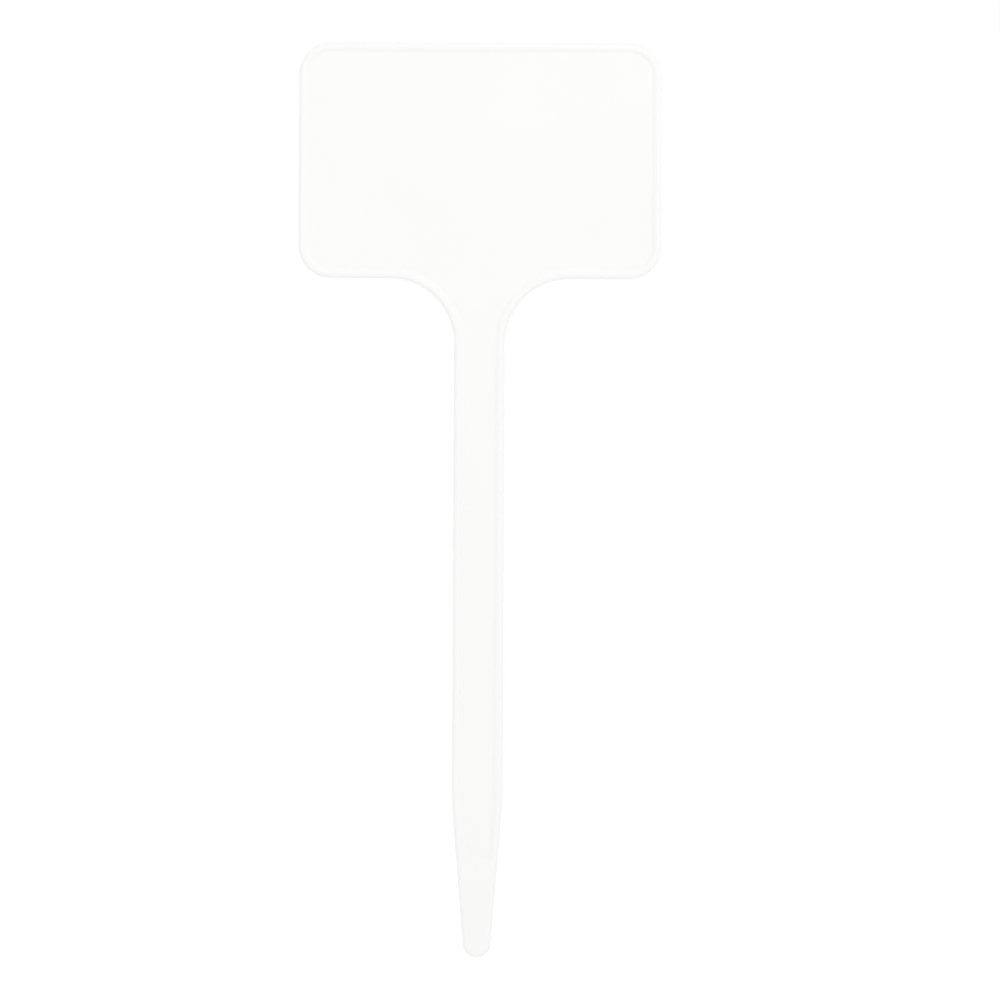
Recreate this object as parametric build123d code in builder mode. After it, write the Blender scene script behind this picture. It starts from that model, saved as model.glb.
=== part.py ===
from build123d import *
import math
import os

# A T-shaped plant label stake: one white plastic moulding with a bead round its edge, divided
# where its wall section changes.
# The origin is the lowest point of the tip, at mid-thickness. Z runs up the stem, X to the right
# seen from the front, and the front looks along -Y. The back is the front's mirror image.
# Lengths are in millimetres.

os.makedirs("parts", exist_ok=True)

# Outline seen from the front
overall_height = 250.0
head_width = 99.2
head_height = 64.4
head_corner_radius = 8.9
flare_radius = 17.7
stem_width = 13.8
taper_length = 42.5
shoulder_radius = 60.0
tip_radius = 3.8

# Section through the wall: a thin web with a bead that stands proud of both faces
web_thickness = 1.3
bead_height = 0.6
crown_width = 0.55
bead_slope = 1.2
edge_land = 0.3

# End of the recess, above the solid tip
recess_drop = 15.2
runout_length = 6.5

# Where the moulding is divided
neck_length = 4.0
point_lap = 3.0

# How far a cutting shape runs past the face that it cuts
cut_margin = 0.5

# Sizes that follow from these
half_head = head_width / 2
half_stem = stem_width / 2
half_web = web_thickness / 2
half_bead = half_web + bead_height
edge_radius = half_bead - edge_land / 2
bead_width = edge_radius + crown_width + bead_slope
slope_angle = math.degrees(math.atan2(bead_slope, bead_height))

head_bottom = overall_height - head_height
neck_bottom = head_bottom - flare_radius - neck_length
recess_end = taper_length - recess_drop
runout_foot = recess_end - runout_length
point_top = recess_end + point_lap

# The tapered edges run from the shoulders and touch the circle of the tip
tip_distance = math.hypot(half_stem, taper_length - tip_radius)
taper = math.atan2(half_stem, taper_length - tip_radius) - math.asin(tip_radius / tip_distance)
apex_height = tip_radius - tip_radius / math.sin(taper)


def mirrored(corners):
    """The corners of the right half, followed by those of the left half in reverse order."""
    return corners + [(-x, z) for x, z in reversed(corners)]


def head_corners(inset):
    """Corners of the head's edge from the right of the neck round to its left, moved inwards."""
    return mirrored(
        [
            (half_stem - inset, neck_bottom),
            (half_stem - inset, head_bottom + inset),
            (half_head - inset, head_bottom + inset),
            (half_head - inset, overall_height - inset),
        ]
    )


def head_radii(inset):
    """Radius at each corner of the head's edge: hollow flares grow and round corners shrink."""
    flare = flare_radius + inset
    corner = head_corner_radius - inset
    return [flare, corner, corner, corner, corner, flare]


def taper_reach(height, inset):
    """Distance of the tapered edge from the middle, at a height and moved inwards."""
    return half_stem - (taper_length - height) * math.tan(taper) - inset / math.cos(taper)


def stem_corners(bottom, inset):
    """Corners of the stem's right edge from the neck down to a height, moved inwards."""
    return [
        (half_stem - inset, neck_bottom),
        (half_stem - inset, taper_length + inset * math.tan(taper / 2)),
        (taper_reach(bottom, inset), bottom),
    ]


def bead_section(plane):
    """Section of the bead, from its outer edge inwards along the plane's own X."""
    with BuildSketch(plane) as section:
        with BuildLine():
            land = Line((0, 0), (0, half_bead - edge_radius))
            edge = JernArc(land @ 1, land % 1, edge_radius, -90)
            crown = Line(edge @ 1, (edge_radius + crown_width, half_bead))
            Polyline(crown @ 1, (bead_width, half_web), (bead_width, 0), (0, 0))
        make_face()
        mirror(about=Plane.XZ)
    return section.sketch


def recess_runout():
    """The lower end of the front recess, where its floor rises to the face of the solid tip."""
    top = point_top + cut_margin
    front = half_bead + cut_margin
    top_reach = taper_reach(top, bead_width)
    foot_reach = taper_reach(runout_foot, bead_width)
    with BuildPart() as recess:
        with BuildSketch(Plane.XZ.offset(half_web)):
            with BuildLine():
                Polyline(*mirrored([(top_reach, top), (foot_reach, runout_foot)]), close=True)
            make_face()
        extrude(amount=front - half_web, taper=-slope_angle)
        with BuildSketch(Plane.YZ):
            with BuildLine():
                Polyline(
                    (-half_web, top),
                    (-half_web, recess_end),
                    (-half_bead, runout_foot),
                    (-front, runout_foot),
                    (-front, top),
                    close=True,
                )
            make_face()
        extrude(amount=stem_width, both=True, mode=Mode.INTERSECT)
    return recess.part


# The thin flat web of the head, with the neck
with BuildPart() as writing_panel:
    with BuildSketch(Plane.XZ):
        with BuildLine():
            panel_radii = [0, *head_radii(bead_width), 0]
            FilletPolyline(*head_corners(bead_width), radius=panel_radii, close=True)
        make_face()
    extrude(amount=half_web, both=True)

# The bead along the head's edge and round both flares
with BuildPart() as head_rim:
    with BuildLine(Plane.XZ) as head_edge:
        FilletPolyline(*head_corners(0), radius=head_radii(0))
    neck_plane = Plane(origin=(half_stem, 0, neck_bottom), x_dir=(-1, 0, 0), z_dir=(0, 0, 1))
    sweep(sections=bead_section(neck_plane), path=head_edge.line)

# The thin flat web of the stem
with BuildPart() as stem_web:
    with BuildSketch(Plane.XZ):
        with BuildLine():
            web_corners = mirrored(stem_corners(point_top, bead_width))
            web_shoulder = shoulder_radius - bead_width
            FilletPolyline(*web_corners, radius=[0, web_shoulder, 0, 0, web_shoulder, 0], close=True)
        make_face()
    extrude(amount=half_web, both=True)

# The beads along the two edges of the stem
with BuildPart() as stem_rib_right:
    with BuildLine(Plane.XZ) as stem_edge:
        FilletPolyline(*stem_corners(recess_end, 0), radius=shoulder_radius)
    rib_plane = Plane(origin=(half_stem, 0, neck_bottom), x_dir=(-1, 0, 0), z_dir=(0, 0, -1))
    sweep(sections=bead_section(rib_plane), path=stem_edge.line)
    split(bisect_by=Plane.XY.offset(point_top), keep=Keep.TOP)

with BuildPart() as stem_rib_left:
    mirror(stem_rib_right.part, about=Plane.YZ)

# The solid end, with the recess's run-out on both faces and the rounded tip
with BuildPart() as ground_point:
    with BuildSketch(Plane.XZ):
        with BuildLine():
            seam_reach = taper_reach(point_top, 0)
            point_corners = [(seam_reach, point_top), (0, apex_height), (-seam_reach, point_top)]
            FilletPolyline(*point_corners, radius=[0, tip_radius, 0], close=True)
        make_face()
    extrude(amount=half_bead, both=True)
    face_edges = ground_point.faces().filter_by(Axis.Y).edges()
    fillet(face_edges.filter_by_position(Axis.Z, 0, point_top, (True, False)), edge_radius)
    front_recess = recess_runout()
    add(front_recess, mode=Mode.SUBTRACT)
    mirror(front_recess, about=Plane.XZ, mode=Mode.SUBTRACT)

pieces = {
    "writing_panel": writing_panel,
    "head_rim": head_rim,
    "stem_web": stem_web,
    "stem_rib_left": stem_rib_left,
    "stem_rib_right": stem_rib_right,
    "ground_point": ground_point,
}
for name, piece in pieces.items():
    piece.part.label = name
    export_step(piece.part, f"parts/{name}.step")
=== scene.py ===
"""Looks of a white plastic plant label stake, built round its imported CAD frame.

The label is one thin T-shaped moulding with a bead along its whole edge. Each CAD node is replaced
by a finer surface on the same outline: the bead gets soft shoulders and a parting line, and the
recess of the stem runs out softly above the solid tip. Neighbouring surfaces share their border
points, so no seam shows.

Shapes are worked out in millimetres and go into the meshes in metres. X runs to the right seen from
the front, Z up the stem, and the front looks along -Y.
"""

import logging
import math
from dataclasses import dataclass, field
from enum import Enum

import bmesh
import bpy
import numpy as np
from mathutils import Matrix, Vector

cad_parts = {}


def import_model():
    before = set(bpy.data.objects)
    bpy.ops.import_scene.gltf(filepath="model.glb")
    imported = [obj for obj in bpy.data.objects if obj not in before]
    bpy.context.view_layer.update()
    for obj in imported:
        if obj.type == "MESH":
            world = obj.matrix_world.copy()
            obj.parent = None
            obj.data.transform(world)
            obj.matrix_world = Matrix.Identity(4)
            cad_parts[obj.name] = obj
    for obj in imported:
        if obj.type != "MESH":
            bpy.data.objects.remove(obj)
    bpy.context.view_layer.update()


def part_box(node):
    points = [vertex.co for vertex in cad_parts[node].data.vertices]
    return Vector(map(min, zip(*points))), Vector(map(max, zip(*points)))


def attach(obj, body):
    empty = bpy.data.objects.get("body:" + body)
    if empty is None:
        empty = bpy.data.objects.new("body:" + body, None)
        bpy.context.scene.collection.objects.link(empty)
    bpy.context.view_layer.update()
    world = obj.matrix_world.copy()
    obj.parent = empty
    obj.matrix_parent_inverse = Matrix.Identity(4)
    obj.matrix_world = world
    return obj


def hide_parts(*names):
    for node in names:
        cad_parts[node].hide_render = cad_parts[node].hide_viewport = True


LOG = logging.getLogger("plant_label")
MILLIMETRE = 0.001
FRAME_DECIMALS = 4
BODY = "root"
FIELD_SHARE = "writing_field"
WHITE = (1.0, 1.0, 1.0, 1.0)

Colour = tuple[float, float, float]
Place = tuple[float, float]
Span = tuple[float, float]
Spot = tuple[float, float, float]
Socket = bpy.types.NodeSocket
Tree = bpy.types.NodeTree


class Slot(Enum):
    """Material slots of the record."""

    WRITING_SURFACE = "writing_surface"
    MOULDED_EDGE = "moulded_edge"


class Side(Enum):
    """The two halves seen from the front, as the sign of X."""

    RIGHT = 1.0
    LEFT = -1.0


class Face(Enum):
    """The two broad faces, as the sign of Y."""

    FRONT = -1.0
    BACK = 1.0


class Axis(Enum):
    """The frame's axes, as places in a point's coordinates."""

    X = 0
    Y = 1
    Z = 2


class Blend(Enum):
    """What a mixing node mixes: its data type, and the ending of its sockets' names."""

    COLOUR = ("RGBA", "Color")
    NUMBER = ("FLOAT", "Float")


def soft_step(share: np.ndarray) -> np.ndarray:
    """Rises from 0 to 1 with level ends: three times the square less twice the cube of the share.

    Args:
        share: Shares of the way, which are clipped to between 0 and 1.

    Returns:
        The height at each share.
    """
    clipped = np.clip(share, 0.0, 1.0)
    return clipped * clipped * (3.0 - 2.0 * clipped)


def reach(node: str, axis: Axis) -> Span:
    """How far a CAD node reaches along an axis, cleaned of the rounding in the frame's numbers.

    Args:
        node: Name of the node.
        axis: The axis.

    Returns:
        Its lowest and highest place, in millimetres.
    """
    low, high = (corner[axis.value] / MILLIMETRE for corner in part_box(node))
    return round(low, FRAME_DECIMALS), round(high, FRAME_DECIMALS)


@dataclass(frozen=True)
class EdgeLine:
    """A run of the label's edge seen from the front.

    Attributes:
        points: X and Z of each point of the run.
        inward: Unit vector at each point that leads into the label, square to the edge.
    """

    points: np.ndarray
    inward: np.ndarray

    @classmethod
    def straight(cls, start: Place, end: Place, inward: Place, pitch: float) -> "EdgeLine":
        """A straight run: the start plus a share, from 0 to 1, of the way to the end.

        Args:
            start: First point.
            end: Last point.
            inward: The run's one inward direction.
            pitch: Distance between points, about.

        Returns:
            The run.
        """
        steps = max(1, round(math.dist(start, end) / pitch))
        share = np.linspace(0.0, 1.0, steps + 1)[:, None]
        points = (1.0 - share) * np.array(start) + share * np.array(end)
        return cls(points, np.broadcast_to(inward, points.shape))

    @classmethod
    def arc(
        cls, centre: Place, radius: float, turn: Span, steps: int, hollow: bool = False
    ) -> "EdgeLine":
        """An arc: the centre plus the radius times the unit vector at evenly spaced angles.

        Args:
            centre: Centre of the arc.
            radius: Radius of the arc.
            turn: Angles of the first and last point in degrees, from X towards Z.
            steps: Number of steps from the first point to the last.
            hollow: True if the centre lies outside the label, so that inward is away from it.

        Returns:
            The run.
        """
        angle = np.radians(np.linspace(*turn, steps + 1))
        unit = np.stack([np.cos(angle), np.sin(angle)], axis=1)
        return cls(np.array(centre) + radius * unit, unit if hollow else -unit)

    @classmethod
    def joined(cls, *runs: "EdgeLine") -> "EdgeLine":
        """Runs one after another, where each starts at the last point of the one before.

        Args:
            runs: The runs in order.

        Returns:
            One run, with each shared point once.
        """
        first, *others = runs
        points = np.concatenate([first.points, *(run.points[1:] for run in others)])
        inward = np.concatenate([first.inward, *(run.inward[1:] for run in others)])
        return cls(points, inward)

    def mirrored(self) -> "EdgeLine":
        """The same run on the other side of the middle, from its end to its start."""
        turned = np.array([-1.0, 1.0])
        return EdgeLine(self.points[::-1] * turned, self.inward[::-1] * turned)

    def inset(self, distance: np.ndarray) -> tuple[np.ndarray, np.ndarray]:
        """The run moved into the label: each point plus each distance times the inward direction.

        Args:
            distance: Distances in from the edge.

        Returns:
            X and Z as two grids, with a row for each point and a column for each distance.
        """
        grid = self.points[:, None, :] + distance[None, :, None] * self.inward[:, None, :]
        return grid[..., 0], grid[..., 1]


@dataclass(frozen=True)
class LabelOutline:
    """The label's edge seen from the front.

    Lengths are in millimetres, and heights are above the tip.

    Attributes:
        overall_height: Height of the top edge.
        half_head: Half the width of the head.
        half_stem: Half the width of the stem above its taper.
        neck_bottom: Height at which the neck of the head goes over into the stem.
        point_top: Height at which the stem goes over into the point.
        head_height: Height of the head alone, without its neck.
        corner_radius: Radius of the head's four corners.
        flare_radius: Radius of the hollow flares between the head and the neck.
        taper_length: Height at which the stem starts to narrow.
        shoulder_radius: Radius of the soft corner there.
        tip_radius: Radius of the rounded tip.
        pitch: Distance between points on a straight run, about.
        corner_steps: Steps round a corner of the head.
        flare_steps: Steps round a flare.
        shoulder_steps: Steps round a shoulder.
        web_steps: Steps across the web of the stem.
    """

    overall_height: float
    half_head: float
    half_stem: float
    neck_bottom: float
    point_top: float
    head_height: float = 64.4
    corner_radius: float = 8.9
    flare_radius: float = 17.7
    taper_length: float = 42.5
    shoulder_radius: float = 60.0
    tip_radius: float = 3.8
    pitch: float = 2.0
    corner_steps: int = 32
    flare_steps: int = 40
    shoulder_steps: int = 12
    web_steps: int = 12

    @classmethod
    def from_frame(cls) -> "LabelOutline":
        """The outline that reaches as far as the CAD nodes do and is divided where they are.

        Returns:
            The outline.
        """
        _, half_head = reach("head_rim", Axis.X)
        _, half_stem = reach("stem_rib_right", Axis.X)
        neck_bottom, overall_height = reach("head_rim", Axis.Z)
        _, point_top = reach("ground_point", Axis.Z)
        return cls(overall_height, half_head, half_stem, neck_bottom, point_top)

    @property
    def head_bottom(self) -> float:
        """Height of the head's lower edge."""
        return self.overall_height - self.head_height

    @property
    def taper(self) -> float:
        """Angle of the tapered edge to the vertical.

        The edge runs from the shoulder and touches the circle of the tip: the angle to the middle
        of the tip less the angle whose sine is the tip's radius over the distance.

        Returns:
            The angle in radians.
        """
        drop = self.taper_length - self.tip_radius
        to_shoulder = math.atan2(self.half_stem, drop)
        return to_shoulder - math.asin(self.tip_radius / math.hypot(self.half_stem, drop))

    def taper_reach(self, height: np.ndarray, inset: np.ndarray) -> np.ndarray:
        """Distance of the tapered edge from the middle.

        It is the stem's half width less the drop below the shoulder times the edge's slope.

        Args:
            height: Heights at which it is taken.
            inset: Distances in from the edge, measured square to it.

        Returns:
            X on the right of the middle.
        """
        drop = (self.taper_length - height) * math.tan(self.taper)
        return self.half_stem - drop - inset / math.cos(self.taper)

    def across(self) -> np.ndarray:
        """Places across the web, from -1 on its left to 1 on its right."""
        return np.linspace(-1.0, 1.0, self.web_steps + 1)

    def head_edge(self) -> EdgeLine:
        """The head's edge, from the right of the neck over the corners and the top to its left.

        Its right half is straight runs joined by quarter circles, and its left half mirrors that.

        Returns:
            The run.
        """
        side, top, bottom = self.half_head, self.overall_height, self.head_bottom
        stem, flare, radius = self.half_stem, self.flare_radius, self.corner_radius
        flare_end, flare_start = stem + flare, bottom - flare
        right, low, high = side - radius, bottom + radius, top - radius
        up, down, left = (0.0, 1.0), (0.0, -1.0), (-1.0, 0.0)
        half = EdgeLine.joined(
            EdgeLine.straight((stem, self.neck_bottom), (stem, flare_start), left, self.pitch),
            EdgeLine.arc(
                (flare_end, flare_start), flare, (180.0, 90.0), self.flare_steps, hollow=True
            ),
            EdgeLine.straight((flare_end, bottom), (right, bottom), up, self.pitch),
            EdgeLine.arc((right, low), radius, (-90.0, 0.0), self.corner_steps),
            EdgeLine.straight((side, low), (side, high), left, self.pitch),
            EdgeLine.arc((right, high), radius, (0.0, 90.0), self.corner_steps),
            EdgeLine.straight((right, top), (0.0, top), down, self.pitch),
        )
        return EdgeLine.joined(half, half.mirrored())

    def stem_edge(self) -> EdgeLine:
        """The stem's right edge from the neck, over the shoulder, down to the top of the point.

        It is two straight runs joined by an arc that touches both.

        Returns:
            The run.
        """
        sine, cosine = math.sin(self.taper), math.cos(self.taper)
        stem, radius = self.half_stem, self.shoulder_radius
        middle, high = stem - radius, self.taper_length + radius * math.tan(self.taper / 2)
        shoulder_end = (middle + radius * cosine, high - radius * sine)
        end = (self.taper_reach(self.point_top, 0.0), self.point_top)
        turn = (0.0, -math.degrees(self.taper))
        return EdgeLine.joined(
            EdgeLine.straight((stem, self.neck_bottom), (stem, high), (-1.0, 0.0), self.pitch),
            EdgeLine.arc((middle, high), radius, turn, self.shoulder_steps),
            EdgeLine.straight(shoulder_end, end, (-cosine, sine), self.pitch),
        )


@dataclass(frozen=True)
class BeadSection:
    """Section through the edge: half the thickness by the distance in, both in millimetres.

    Attributes:
        half_web: Half the thickness of the web.
        half_bead: Half the thickness at the crown of the bead.
        bead_width: Width of the bead, from the edge to the web.
        edge_radius: Radius of the rounded edge.
        half_land: Half the height of the flat that the rounded edge leaves.
        slope_width: Width of the slope from the crown to the web.
        slope_lean: How far the steepest part of the slope lies below its middle, where 1 is none.
        foot_land: Width of the flat between the slope and the web.
        parting_depth: How far the parting line stands out.
        parting_crest: Half the width of the parting line at its crest.
        parting_foot: Half the width of the parting line at its foot.
        edge_steps: Steps round the rounded edge.
        slope_steps: Steps down the slope.
    """

    half_web: float
    half_bead: float
    bead_width: float
    edge_radius: float = 1.1
    half_land: float = 0.15
    slope_width: float = 1.55
    slope_lean: float = 1.3
    foot_land: float = 0.05
    parting_depth: float = 0.03
    parting_crest: float = 0.03
    parting_foot: float = 0.06
    edge_steps: int = 14
    slope_steps: int = 18

    @classmethod
    def from_frame(cls) -> "BeadSection":
        """The section as thick and as wide as the CAD nodes are.

        Returns:
            The section.
        """
        _, half_web = reach("stem_web", Axis.Y)
        _, half_bead = reach("stem_rib_right", Axis.Y)
        _, web_side = reach("stem_web", Axis.X)
        _, bead_side = reach("stem_rib_right", Axis.X)
        return cls(half_web, half_bead, bead_side - web_side)

    def stations(self) -> tuple[np.ndarray, np.ndarray]:
        """Stations across the bead, from the crest of the parting line to the foot of the slope.

        The rounded edge is a quarter ellipse: its inset grows with one less the cosine of an angle,
        and its half thickness with the sine. The parting line is a low ridge in front of it.

        Returns:
            The distance in from the edge at each station, and the most that half the thickness can
            be there.
        """
        quarter = np.linspace(0.0, math.pi / 2, self.edge_steps + 1)
        round_width = self.edge_radius - self.parting_depth
        foot = self.bead_width - self.foot_land
        slope = np.linspace(foot - self.slope_width, foot, self.slope_steps + 1)
        inset = [
            [0.0, 0.0, self.parting_depth],
            self.parting_depth + round_width * (1.0 - np.cos(quarter)),
            slope,
            [self.bead_width],
        ]
        limit = [
            [0.0, self.parting_crest, self.parting_foot],
            self.half_land + self.edge_radius * np.sin(quarter),
            np.full_like(slope, self.half_bead),
            [self.half_bead],
        ]
        return np.concatenate(inset), np.concatenate(limit)

    def rise(self, inset: np.ndarray) -> np.ndarray:
        """Share of the bead's height: 1 on the crown and 0 at the foot.

        Between them it is one less a soft step of the share of the slope passed, raised to the
        lean, so that the crown falls away slowly and the slope is steepest below its middle.

        Args:
            inset: Distances in from the edge.

        Returns:
            The share at each distance.
        """
        top = self.bead_width - self.foot_land - self.slope_width
        passed = np.clip((inset - top) / self.slope_width, 0.0, 1.0)
        return 1.0 - soft_step(passed**self.slope_lean)

    def half_thickness(self, limit: np.ndarray, risen: np.ndarray) -> np.ndarray:
        """Half the web plus the risen share of the bead's height, never over the edge's limit.

        Args:
            limit: The most that half the thickness can be.
            risen: Share of the bead's height, from 0 to 1.

        Returns:
            Half the thickness.
        """
        return np.minimum(limit, self.half_web + (self.half_bead - self.half_web) * risen)


@dataclass
class Skin:
    """A closed surface put together from grid patches, which are welded where their points meet.

    Attributes:
        patches: Grids of X, Y and Z in millimetres and of the writing field's share.
        weld: Points that agree to this distance become one, in millimetres.
        crease: Edges that turn by more than this angle stay sharp, in degrees.
    """

    patches: list[np.ndarray] = field(default_factory=list)
    weld: float = 1e-4
    crease: float = 40.0

    @classmethod
    def of_bead(cls, bead: BeadSection, x: np.ndarray, z: np.ndarray) -> "Skin":
        """The bead's section carried along a run of the edge, with a wall at its foot and two caps.

        Args:
            bead: The section.
            x: X as a grid, with a row for each point of the run and a column for each station.
            z: Z in the same way.

        Returns:
            The closed surface.
        """
        inset, limit = bead.stations()
        risen = bead.rise(inset)
        half = bead.half_thickness(limit, risen)
        skin = cls()
        for face in Face:
            skin.add(x, face.value * half, z, 1.0 - risen)
        skin.add_wall(x[:, -1], np.full_like(x[:, -1], half[-1]), z[:, -1], np.ones_like(x[:, -1]))
        for end in (0, -1):
            skin.add_wall(x[end], half, z[end], 1.0 - risen)
        return skin

    def add(self, x: np.ndarray, y: np.ndarray, z: np.ndarray, share: np.ndarray) -> None:
        """Adds a patch from four arrays that broadcast to one grid.

        Args:
            x: X of each point.
            y: Y of each point.
            z: Z of each point.
            share: How far each point belongs to the writing field, from 0 to 1.
        """
        self.patches.append(np.stack(np.broadcast_arrays(x, y, z, share), axis=-1))

    def add_wall(self, x: np.ndarray, half: np.ndarray, z: np.ndarray, share: np.ndarray) -> None:
        """Adds a strip through the thickness, along a line seen from the front.

        Args:
            x: X of each point of the line.
            half: Half the thickness at each point: the strip goes from minus this to plus this.
            z: Z of each point.
            share: How far each point belongs to the writing field, from 0 to 1.
        """
        self.add(x[:, None], np.stack([-half, half], axis=1), z[:, None], share[:, None])

    def faces(self, welded: np.ndarray) -> list[list[int]]:
        """One face for each grid cell: a quad, or a triangle where two corners became one.

        Args:
            welded: Number of the welded point for each point of the patches.

        Returns:
            The corners of each face. A cell with fewer than three corners left has none.
        """
        cells, start = [], 0
        for patch in self.patches:
            high, wide = patch.shape[:2]
            index = np.arange(start, start + high * wide).reshape(high, wide)
            ring = [index[:-1, :-1], index[1:, :-1], index[1:, 1:], index[:-1, 1:]]
            cells.append(np.stack(ring, axis=-1).reshape(-1, 4))
            start += high * wide
        corners = welded[np.concatenate(cells)]
        repeats = corners == np.roll(corners, -1, axis=1)
        lost = repeats.sum(axis=1)
        triangles = corners[lost == 1][~repeats[lost == 1]].reshape(-1, 3)
        return corners[lost == 0].tolist() + triangles.tolist()

    def build(self, name: str) -> bpy.types.Object:
        """Welds the patches into one closed mesh and puts it into the scene, at the origin.

        Args:
            name: Name of the object and its mesh.

        Returns:
            The new object.
        """
        rows = np.concatenate([patch.reshape(-1, patch.shape[-1]) for patch in self.patches])
        places, shares = rows[:, :-1], rows[:, -1]
        keys = np.round(places / self.weld).astype(np.int64)
        _, kept, welded = np.unique(keys, axis=0, return_index=True, return_inverse=True)
        mesh = bpy.data.meshes.new(name)
        mesh.from_pydata(places[kept] * MILLIMETRE, [], self.faces(welded.reshape(-1)))
        shell = bmesh.new()
        shell.from_mesh(mesh)
        bmesh.ops.recalc_face_normals(shell, faces=shell.faces)
        shell.to_mesh(mesh)
        shell.free()
        held = mesh.attributes.new(FIELD_SHARE, "FLOAT", "POINT")
        held.data.foreach_set("value", shares[kept].astype(np.float32))
        mesh.shade_smooth()
        mesh.set_sharp_from_angle(angle=math.radians(self.crease))
        piece = bpy.data.objects.new(name, mesh)
        bpy.context.scene.collection.objects.link(piece)
        return piece


def mixed(tree: Tree, blend: Blend, factor: Socket, near: Socket, far: Socket) -> Socket:
    """Adds a node that mixes two sockets.

    Args:
        tree: Nodes to add it to.
        blend: What is mixed.
        factor: Socket with the share of the far one.
        near: Socket that shows at a share of 0.
        far: Socket that shows at a share of 1.

    Returns:
        The socket with the mix.
    """
    data_type, ending = blend.value
    node = tree.nodes.new("ShaderNodeMix")
    node.data_type = data_type
    sockets = {socket.identifier: socket for socket in (*node.inputs, *node.outputs)}
    tree.links.new(factor, sockets["Factor_Float"])
    tree.links.new(near, sockets["A_" + ending])
    tree.links.new(far, sockets["B_" + ending])
    return sockets["Result_" + ending]


def computed(tree: Tree, operation: str, *values: Socket | float) -> Socket:
    """Adds a Math node.

    Args:
        tree: Nodes to add it to.
        operation: What it works out.
        values: Its inputs in order, each a socket to link or a number to set.

    Returns:
        The socket with the result.
    """
    node = tree.nodes.new("ShaderNodeMath")
    node.operation = operation
    for place, value in zip(node.inputs, values):
        if isinstance(value, Socket):
            tree.links.new(value, place)
        else:
            place.default_value = value
    return node.outputs["Value"]


class MouldedTexture:
    """Shader node group for the skin of moulded plastic: fine grain, and a slow drift of tone.

    Its height and roughness follow the grain, and its colour follows the drift.
    """

    NAME = "moulded_texture"
    GRAIN_DETAIL = 3.0
    DRIFT_DETAIL = 2.0
    INPUTS = {
        "Vector": "NodeSocketVector",
        "Grain per metre": "NodeSocketFloat",
        "Grain depth": "NodeSocketFloat",
        "Smoothest": "NodeSocketFloat",
        "Roughest": "NodeSocketFloat",
        "Drift per metre": "NodeSocketFloat",
        "Pale": "NodeSocketColor",
        "Dull": "NodeSocketColor",
    }
    OUTPUTS = {
        "Color": "NodeSocketColor",
        "Roughness": "NodeSocketFloat",
        "Height": "NodeSocketFloat",
    }
    BLENDS = {"Color": Blend.COLOUR, "Roughness": Blend.NUMBER, "Height": Blend.NUMBER}

    def __init__(self) -> None:
        """Builds the group: a noise for the grain and a noise for the drift."""
        self.tree = bpy.data.node_groups.new(self.NAME, "ShaderNodeTree")
        for name, kind in self.INPUTS.items():
            self.tree.interface.new_socket(name, in_out="INPUT", socket_type=kind)
        for name, kind in self.OUTPUTS.items():
            self.tree.interface.new_socket(name, in_out="OUTPUT", socket_type=kind)
        given = self.tree.nodes.new("NodeGroupInput").outputs
        result = self.tree.nodes.new("NodeGroupOutput").inputs
        grain = self._noise(given["Vector"], given["Grain per metre"], self.GRAIN_DETAIL)
        drift = self._noise(given["Vector"], given["Drift per metre"], self.DRIFT_DETAIL)
        smooth, rough = given["Smoothest"], given["Roughest"]
        made = {
            "Color": mixed(self.tree, Blend.COLOUR, drift, given["Pale"], given["Dull"]),
            "Roughness": mixed(self.tree, Blend.NUMBER, grain, smooth, rough),
            "Height": computed(self.tree, "MULTIPLY", grain, given["Grain depth"]),
        }
        for name, socket in made.items():
            self.tree.links.new(socket, result[name])

    def _noise(self, vector: Socket, scale: Socket, detail: float) -> Socket:
        """Adds a noise to the group.

        Args:
            vector: Socket with the coordinates.
            scale: Socket with the number of features to the metre.
            detail: Octaves of finer noise.

        Returns:
            The socket with the noise's value.
        """
        noise = self.tree.nodes.new("ShaderNodeTexNoise")
        noise.inputs["Detail"].default_value = detail
        self.tree.links.new(vector, noise.inputs["Vector"])
        self.tree.links.new(scale, noise.inputs["Scale"])
        return noise.outputs["Fac"]


@dataclass(frozen=True)
class PlasticFinish:
    """One finish of the white plastic, from the part of the mould that shapes it.

    Attributes:
        grain_per_metre: Features of the grain to the metre.
        grain_depth: Depth of the grain, as a share of the deepest.
        smoothest: Roughness in the hollows of the grain.
        roughest: Roughness on the peaks of the grain.
        drift_per_metre: Features of the drift of tone to the metre.
        pale: The plastic's colour at its palest.
        dull: The colour that it drifts to.
    """

    grain_per_metre: float
    grain_depth: float
    smoothest: float
    roughest: float
    drift_per_metre: float = 28.0
    pale: Colour = (0.945, 0.944, 0.941)
    dull: Colour = (0.918, 0.917, 0.911)

    def place(self, texture: MouldedTexture, tree: Tree) -> dict[str, Socket]:
        """Places the texture in a material with this finish's values, on Object coordinates.

        Args:
            texture: The shared texture.
            tree: The material's nodes.

        Returns:
            The placed group's sockets by name.
        """
        coordinates = tree.nodes.new("ShaderNodeTexCoord")
        placed = tree.nodes.new("ShaderNodeGroup")
        placed.node_tree = texture.tree
        tree.links.new(coordinates.outputs["Object"], placed.inputs["Vector"])
        values = {
            "Grain per metre": self.grain_per_metre,
            "Grain depth": self.grain_depth,
            "Smoothest": self.smoothest,
            "Roughest": self.roughest,
            "Drift per metre": self.drift_per_metre,
            "Pale": (*self.pale, 1.0),
            "Dull": (*self.dull, 1.0),
        }
        for name, value in values.items():
            placed.inputs[name].default_value = value
        return {name: placed.outputs[name] for name in texture.OUTPUTS}


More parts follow.
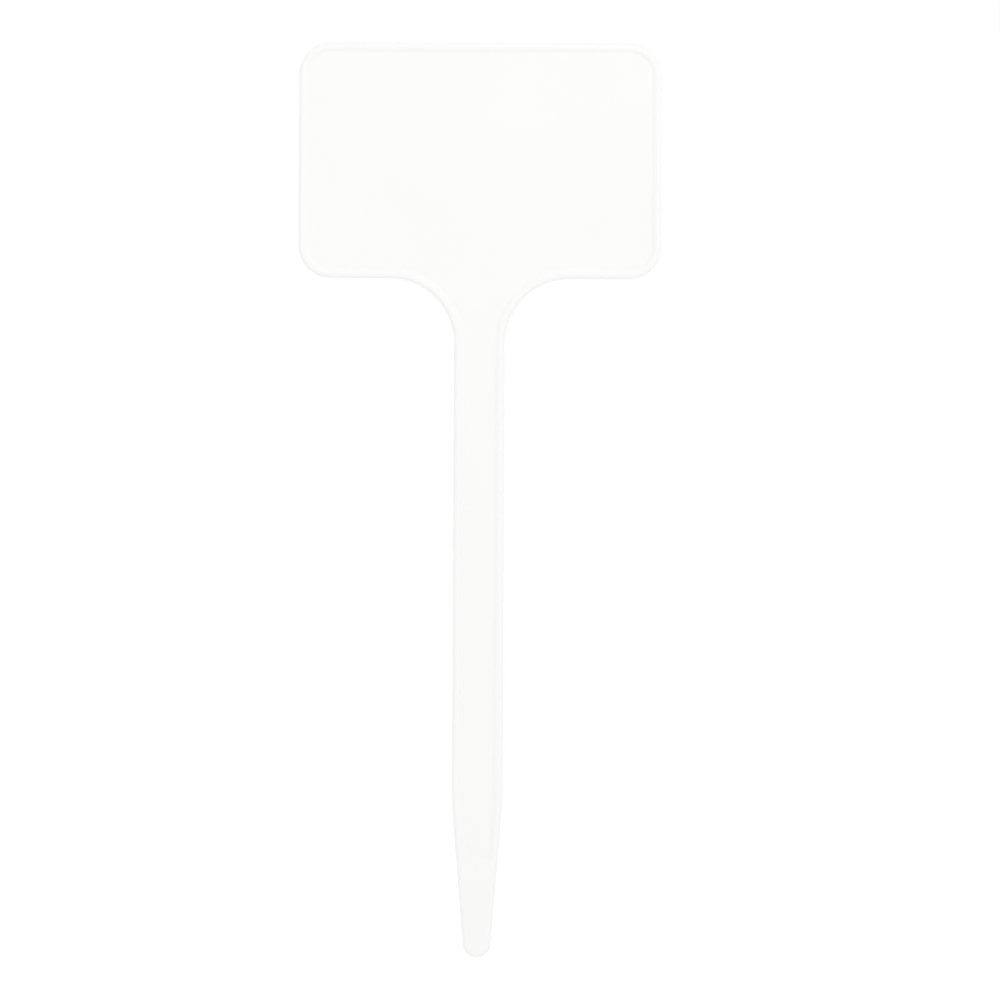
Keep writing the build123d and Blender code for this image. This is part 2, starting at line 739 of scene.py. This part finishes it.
@dataclass
class Plastics:
    """The label's materials: the matte writing field, and the smoother edge that fades into it.

    Attributes:
        field_finish: Finish of the panel and of the floor of the stem's recess.
        edge_finish: Finish of the bead and the tip.
        deepest_grain: Depth that a grain of 1 stands for, in metres.
        refraction: Index of refraction of the plastic.
        made: The material of each slot.
    """

    field_finish: PlasticFinish = PlasticFinish(
        grain_per_metre=5200.0, grain_depth=1.0, smoothest=0.44, roughest=0.6
    )
    edge_finish: PlasticFinish = PlasticFinish(
        grain_per_metre=6000.0, grain_depth=0.3, smoothest=0.34, roughest=0.46
    )
    deepest_grain: float = 1.4e-5
    refraction: float = 1.49
    made: dict[Slot, bpy.types.Material] = field(default_factory=dict)

    def build(self) -> None:
        """Builds the shared texture and both materials."""
        texture = MouldedTexture()
        finishes = {
            Slot.WRITING_SURFACE: self.field_finish,
            Slot.MOULDED_EDGE: self.edge_finish,
        }
        for slot, finish in finishes.items():
            self.made[slot] = self._material(slot, texture, finish)

    def _material(
        self, slot: Slot, texture: MouldedTexture, finish: PlasticFinish
    ) -> bpy.types.Material:
        """A material of one finish. Any but the field's fades into that by the mesh's own share.

        Args:
            slot: The record's slot that it is for.
            texture: The shared texture.
            finish: The finish to show.

        Returns:
            The material.
        """
        material = bpy.data.materials.new(slot.value + "_plastic")
        material.use_nodes = True
        tree = material.node_tree
        shown = finish.place(texture, tree)
        if finish is not self.field_finish:
            share = tree.nodes.new("ShaderNodeAttribute")
            share.attribute_name = FIELD_SHARE
            under = self.field_finish.place(texture, tree)
            for name, blend in texture.BLENDS.items():
                shown[name] = mixed(tree, blend, share.outputs["Fac"], shown[name], under[name])
        bump = tree.nodes.new("ShaderNodeBump")
        bump.inputs["Distance"].default_value = self.deepest_grain
        shader = tree.nodes["Principled BSDF"]
        shader.inputs["IOR"].default_value = self.refraction
        tree.links.new(shown["Height"], bump.inputs["Height"])
        tree.links.new(shown["Color"], shader.inputs["Base Color"])
        tree.links.new(shown["Roughness"], shader.inputs["Roughness"])
        tree.links.new(bump.outputs["Normal"], shader.inputs["Normal"])
        return material

    def dress(self, piece: bpy.types.Object, node: str, slot: Slot) -> None:
        """Gives a piece its slot's material and its body, and hides the CAD node that it stands
        for.

        Args:
            piece: The finished piece.
            node: Name of the CAD node.
            slot: The record's slot of that node.
        """
        piece.data.materials.append(self.made[slot])
        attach(piece, BODY)
        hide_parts(node)
        LOG.info("%s stands for %s with %d faces", piece.name, node, len(piece.data.polygons))


@dataclass
class Head:
    """The head: the thin writing panel with the neck, and the bead round its edge.

    Attributes:
        outline: The label's edge.
        bead: Section through the edge.
        panel_rings: Rings of faces from the panel's border to its middle.
    """

    outline: LabelOutline
    bead: BeadSection
    panel_rings: int = 22

    def build(self, plastics: Plastics) -> None:
        """Builds and dresses the panel and its rim.

        Args:
            plastics: The label's materials.
        """
        inset, _ = self.bead.stations()
        x, z = self.outline.head_edge().inset(inset)
        panel = self.panel(x[:, -1], z[:, -1])
        plastics.dress(panel, "writing_panel", Slot.WRITING_SURFACE)
        rim = Skin.of_bead(self.bead, x, z).build("rim_moulding")
        plastics.dress(rim, "head_rim", Slot.MOULDED_EDGE)

    def panel(self, foot_x: np.ndarray, foot_z: np.ndarray) -> bpy.types.Object:
        """The flat panel on both faces: its border drawn in to the middle, ring by ring.

        A point is the middle of the head plus a share, from 1 to 0, of the way to a point of the
        border. The border is the foot of the bead, closed along the bottom of the neck.

        Args:
            foot_x: X along the foot of the bead, from the right of the neck round to its left.
            foot_z: Z along the foot of the bead.

        Returns:
            The panel.
        """
        neck = foot_x[0] * self.outline.across()[1:]
        x = np.concatenate([foot_x, neck])
        z = np.concatenate([foot_z, np.full_like(neck, self.outline.neck_bottom)])
        middle = self.outline.overall_height - self.outline.head_height / 2
        share = np.linspace(1.0, 0.0, self.panel_rings + 1)[:, None]
        half = np.full_like(x, self.bead.half_web)
        skin = Skin()
        for face in Face:
            skin.add(share * x, face.value * half, middle + share * (z - middle), np.ones_like(x))
        skin.add_wall(x, half, z, np.ones_like(x))
        return skin.build("panel_moulding")


@dataclass
class Stem:
    """The stem above the point: a thin web between two beads.

    Attributes:
        outline: The label's edge.
        bead: Section through the edge.
    """

    outline: LabelOutline
    bead: BeadSection

    def build(self, plastics: Plastics) -> None:
        """Builds and dresses the web and the two ribs.

        Args:
            plastics: The label's materials.
        """
        x, z = self.right_bead()
        plastics.dress(self.web(x[:, -1], z[:, -1]), "stem_web", Slot.WRITING_SURFACE)
        for side in Side:
            name = side.name.lower()
            rib = Skin.of_bead(self.bead, side.value * x, z).build("rib_moulding_" + name)
            plastics.dress(rib, "stem_rib_" + name, Slot.MOULDED_EDGE)

    def right_bead(self) -> tuple[np.ndarray, np.ndarray]:
        """Stations of the bead along the right edge, the last row level with the top of the point.

        Returns:
            X and Z as grids, with a row for each point of the edge and a column for each station.
        """
        inset, _ = self.bead.stations()
        x, z = self.outline.stem_edge().inset(inset)
        x[-1] = self.outline.taper_reach(self.outline.point_top, inset)
        z[-1] = self.outline.point_top
        return x, z

    def web(self, foot_x: np.ndarray, foot_z: np.ndarray) -> bpy.types.Object:
        """The flat web on both faces: rows across the stem, from one bead's foot to the other's.

        A point is the place across, from -1 to 1, times the half width of its row.

        Args:
            foot_x: X along the foot of the right bead, from the neck down.
            foot_z: Z along the foot of the right bead.

        Returns:
            The web.
        """
        x = foot_x[:, None] * self.outline.across()
        z = np.broadcast_to(foot_z[:, None], x.shape)
        skin = Skin()
        for face in Face:
            skin.add(x, np.full_like(x, face.value * self.bead.half_web), z, np.ones_like(x))
        for border in (np.s_[0], np.s_[-1], np.s_[:, 0], np.s_[:, -1]):
            line = x[border]
            half = np.full_like(line, self.bead.half_web)
            skin.add_wall(line, half, z[border], np.ones_like(line))
        return skin.build("web_moulding")


@dataclass
class GroundPoint:
    """The end that goes into the soil: the last of the recess, its run-out and the solid tip.

    Attributes:
        outline: The label's edge.
        bead: Section through the edge.
        flat_length: How far the floor of the recess stays flat below the top of the point.
        runout_length: Height in which the floor then rises to the face of the tip.
        crease_land: Distance of the nearest rows from the crease where the floor starts to rise.
        row_pitch: Distance between rows on the tapered part.
        tip_steps: Steps round a quarter of the tip.
        tip_gap: Height of the lowest level row above the middle of the tip.
    """

    outline: LabelOutline
    bead: BeadSection
    flat_length: float = 3.0
    runout_length: float = 6.5
    crease_land: float = 0.08
    row_pitch: float = 0.4
    tip_steps: int = 26
    tip_gap: float = 0.2

    @property
    def recess_end(self) -> float:
        """Height at which the floor of the recess starts to rise."""
        return self.outline.point_top - self.flat_length

    def build(self, plastics: Plastics) -> None:
        """Builds and dresses the point."""
        plastics.dress(self.point(), "ground_point", Slot.MOULDED_EDGE)

    def right_half(self) -> tuple[np.ndarray, np.ndarray]:
        """Rows from the right edge to the middle, down the taper and round the tip.

        On the taper the rows are level, and a point is the tapered edge moved in by its inset.
        Round the tip they are spokes, and a point is the tip's radius less its inset, from the
        middle of the tip. Inside the foot of the bead, both run to the middle by even shares of
        what is left.

        Returns:
            X and Z as grids.
        """
        inset, _ = self.bead.stations()
        across = self.outline.across()
        inner = across[across >= 0.0][::-1][1:]
        radius, top = self.outline.tip_radius, self.outline.point_top
        lowest = radius + self.tip_gap
        above, below = self.recess_end + self.crease_land, self.recess_end - self.crease_land
        height = np.concatenate([
            np.linspace(top, above, round((top - above) / self.row_pitch) + 1),
            [self.recess_end],
            np.linspace(below, lowest, round((below - lowest) / self.row_pitch) + 1),
        ])[:, None]
        level_x = self.outline.taper_reach(height, inset)
        level_x = np.concatenate([level_x, level_x[:, -1:] * inner], axis=1)
        level_z = np.broadcast_to(height, level_x.shape)
        spoke = radius - inset
        spoke = np.concatenate([spoke, spoke[-1] * inner])
        angle = np.linspace(-self.outline.taper, -math.pi / 2, self.tip_steps + 1)[:, None]
        x = np.concatenate([level_x, spoke * np.cos(angle)])
        z = np.concatenate([level_z, radius + spoke * np.sin(angle)])
        return x, z

    def point(self) -> bpy.types.Object:
        """The point on both faces and both sides of the middle, with a cap where it meets the stem.

        The run-out starts with a crease and eases out: one less the square of the share of it that
        is left. The face is risen where the bead is or where the run-out is: one less the product
        of what each leaves.

        Returns:
            The point.
        """
        x, z = self.right_half()
        inset, limit = self.bead.stations()
        inside = x.shape[1] - inset.size
        risen_bead = np.concatenate([self.bead.rise(inset), np.zeros(inside)])
        limit = np.concatenate([limit, np.full(inside, self.bead.half_bead)])
        left = np.clip(1.0 - (self.recess_end - z) / self.runout_length, 0.0, 1.0)
        run_out = 1.0 - left * left
        share = (1.0 - risen_bead) * (1.0 - run_out)
        half = self.bead.half_thickness(limit, 1.0 - share)
        skin = Skin()
        for side in Side:
            for face in Face:
                skin.add(side.value * x, face.value * half, z, share)
            skin.add_wall(side.value * x[0], half[0], z[0], share[0])
        return skin.build("point_moulding")


@dataclass(frozen=True)
class Lamp:
    """A large round lamp. Places are in metres.

    Attributes:
        name: What the lamp is called.
        place: Where it hangs.
        aim: What it points at.
        watts: Its power.
        colour: Its colour, warmer than white.
        size: Its diameter.
    """

    name: str
    place: Spot
    aim: Spot
    watts: float
    colour: Colour
    size: float = 0.3

    def build(self) -> None:
        """Hangs the lamp, turned so that its own -Z points at its aim."""
        data = bpy.data.lights.new(self.name, "AREA")
        data.shape = "DISK"
        data.size = self.size
        data.energy = self.watts
        data.color = self.colour
        lamp = bpy.data.objects.new(self.name, data)
        lamp.location = self.place
        way = Vector(self.aim) - Vector(self.place)
        lamp.rotation_euler = way.to_track_quat("-Z", "Y").to_euler()
        lamp.visible_camera = False
        bpy.context.scene.collection.objects.link(lamp)


@dataclass
class Studio:
    """A plain pale floor, a bright soft tent, a lamp in front, one behind, and the camera.

    Attributes:
        tent_strength: Light of the tent before what the next six change.
        tent_slant: How far it rises towards the bright side, and falls towards the opposite one.
        tent_side: The bright side, as a direction from the object.
        wall_lift: How far it rises towards the tent's two walls.
        wall_side: One of the walls, as a direction from the object. The other is opposite.
        shade_depth: How far it falls towards the shaded side.
        shade_side: The shaded side, as a direction from the object.
        floor_radius: Radius of the round floor, in metres.
        floor_drop: How far the floor lies under the tip, in metres.
        floor_colour: Colour of the floor as it lights the object.
        floor_lift: White added to the floor where it is looked at, so that it meets the background.
        floor_points: Points round the floor.
        lamps: The lamp at the upper right in front, and the one behind.
        lens: Focal length in millimetres, on a sensor of sensor_width.
        sensor_width: Width of the sensor in millimetres.
        camera_place: Where the camera stands, in metres. It looks along +Y.
        camera_roll: Turn of the camera about its own line of sight, in radians.
    """

    tent_strength: float = 0.911
    tent_slant: float = 0.148
    tent_side: Spot = (0.196, -0.976, 0.1)
    wall_lift: float = 0.11
    wall_side: Spot = (0.0, 1.0, 0.0)
    shade_depth: float = 0.2
    shade_side: Spot = (-0.6, 0.0, -0.8)
    floor_radius: float = 0.5
    floor_drop: float = 0.02
    floor_colour: Colour = (0.938, 0.938, 0.938)
    floor_lift: float = 0.11
    floor_points: int = 128
    lamps: tuple[Lamp, ...] = (
        Lamp(
            name="front_lamp",
            place=(0.19, -0.35, 0.43),
            aim=(0.0, 0.0, 0.22),
            watts=0.05,
            colour=(1.0, 0.99, 0.84),
        ),
        Lamp(
            name="rear_lamp",
            place=(0.26, 0.36, 0.32),
            aim=(0.0, 0.0, 0.2),
            watts=0.15,
            colour=(1.0, 0.995, 0.98),
        ),
    )
    lens: float = 135.0
    sensor_width: float = 36.0
    camera_place: Spot = (0.00582, -1.0252, 0.12508)
    camera_roll: float = -0.005

    def build(self) -> None:
        """Builds the floor, the tent, the lamps and the camera, with plain colour management."""
        bpy.context.scene.view_settings.view_transform = "Standard"
        self.floor()
        self.tent()
        for lamp in self.lamps:
            lamp.build()
        self.camera()

    def looked_at(self, tree: Tree) -> Socket:
        """Adds nodes that tell the camera's own rays from those that light.

        Args:
            tree: Nodes to add them to.

        Returns:
            A socket that is 1 for a ray from the camera, mirrored and refracted ones too, and 0 for
            any other.
        """
        path = tree.nodes.new("ShaderNodeLightPath").outputs
        found = path["Is Camera Ray"]
        for name in ("Is Glossy Ray", "Is Transmission Ray"):
            found = computed(tree, "MAXIMUM", found, path[name])
        return found

    def cosine(self, tree: Tree, side: Spot) -> Socket:
        """Adds nodes for the cosine between a ray into the world and one of the world's sides.

        Args:
            tree: The world's nodes.
            side: The side, as a direction from the object.

        Returns:
            The socket with the cosine.
        """
        ray = tree.nodes.new("ShaderNodeTexCoord").outputs["Generated"]
        product = tree.nodes.new("ShaderNodeVectorMath")
        product.operation = "DOT_PRODUCT"
        product.inputs[1].default_value = Vector(side).normalized()
        tree.links.new(ray, product.inputs[0])
        return product.outputs["Value"]

    def show(
        self, tree: Tree, lighting: bpy.types.Node, seen: bpy.types.Node, output: str
    ) -> None:
        """Gives the camera's own rays another shader than those that light.

        Args:
            tree: Nodes of the material or the world.
            lighting: Shader for the rays that light.
            seen: Shader for the camera's own rays.
            output: Kind of the output node to add.
        """
        shown = tree.nodes.new("ShaderNodeMixShader")
        given = (self.looked_at(tree), lighting.outputs[0], seen.outputs[0])
        for socket, place in zip(given, shown.inputs):
            tree.links.new(socket, place)
        tree.links.new(shown.outputs[0], tree.nodes.new(output).inputs["Surface"])

    def floor(self) -> None:
        """A flat disc under the tip: points on a circle, as one face."""
        angle = np.linspace(0.0, 2.0 * math.pi, self.floor_points, endpoint=False)
        x, y = self.floor_radius * np.cos(angle), self.floor_radius * np.sin(angle)
        rim = np.stack([x, y, np.full_like(angle, -self.floor_drop)], axis=1)
        mesh = bpy.data.meshes.new("floor")
        mesh.from_pydata(rim, [], [list(range(angle.size))])
        floor = bpy.data.objects.new("floor", mesh)
        bpy.context.scene.collection.objects.link(floor)
        mesh.materials.append(self.floor_material())

    def floor_material(self) -> bpy.types.Material:
        """A pale matt floor, lifted towards white where it is looked at.

        Returns:
            The material.
        """
        material = bpy.data.materials.new("pale_floor")
        material.use_nodes = True
        tree = material.node_tree
        tree.nodes.clear()
        matt = tree.nodes.new("ShaderNodeBsdfDiffuse")
        matt.inputs["Color"].default_value = (*self.floor_colour, 1.0)
        lift = tree.nodes.new("ShaderNodeEmission")
        lift.inputs["Strength"].default_value = self.floor_lift
        both = tree.nodes.new("ShaderNodeAddShader")
        tree.links.new(matt.outputs[0], both.inputs[0])
        tree.links.new(lift.outputs[0], both.inputs[1])
        self.show(tree, matt, both, "ShaderNodeOutputMaterial")
        return material

    def tent(self) -> None:
        """A white world that lights the object unevenly. The camera sees plain white instead.

        Its strength towards a direction is a plain value, plus the slant times the cosine to the
        bright side, plus the walls' lift times the square of the cosine to a wall, less the shade's
        depth times the square of the cosine to the shaded side, where that is over 0.
        """
        world = bpy.data.worlds.new("soft_tent")
        world.use_nodes = True
        bpy.context.scene.world = world
        tree = world.node_tree
        tree.nodes.clear()
        light, seen = (tree.nodes.new("ShaderNodeBackground") for _ in range(2))
        for background in (light, seen):
            background.inputs["Color"].default_value = WHITE
            background.inputs["Strength"].default_value = 1.0
        bright = self.cosine(tree, self.tent_side)
        walls = self.cosine(tree, self.wall_side)
        shaded = computed(tree, "MAXIMUM", self.cosine(tree, self.shade_side), 0.0)
        strength = computed(tree, "MULTIPLY_ADD", bright, self.tent_slant, self.tent_strength)
        for cosine, weight in ((walls, self.wall_lift), (shaded, -self.shade_depth)):
            squared = computed(tree, "MULTIPLY", cosine, cosine)
            strength = computed(tree, "MULTIPLY_ADD", squared, weight, strength)
        tree.links.new(strength, light.inputs["Strength"])
        self.show(tree, light, seen, "ShaderNodeOutputWorld")

    def camera(self) -> None:
        """The camera at the photograph's angle: straight in front, and rolled by a hair."""
        data = bpy.data.cameras.new("front_camera")
        data.lens = self.lens
        data.sensor_width = self.sensor_width
        camera = bpy.data.objects.new("front_camera", data)
        camera.location = self.camera_place
        camera.rotation_euler = (math.pi / 2, self.camera_roll, 0.0)
        bpy.context.scene.collection.objects.link(camera)
        bpy.context.scene.camera = camera


def main() -> None:
    """Loads the frame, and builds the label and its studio."""
    logging.basicConfig(level=logging.INFO, format="%(name)s: %(message)s")
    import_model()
    plastics = Plastics()
    plastics.build()
    outline, bead = LabelOutline.from_frame(), BeadSection.from_frame()
    for part in (Head(outline, bead), Stem(outline, bead), GroundPoint(outline, bead)):
        part.build(plastics)
    Studio().build()


if __name__ == "__main__":
    main()
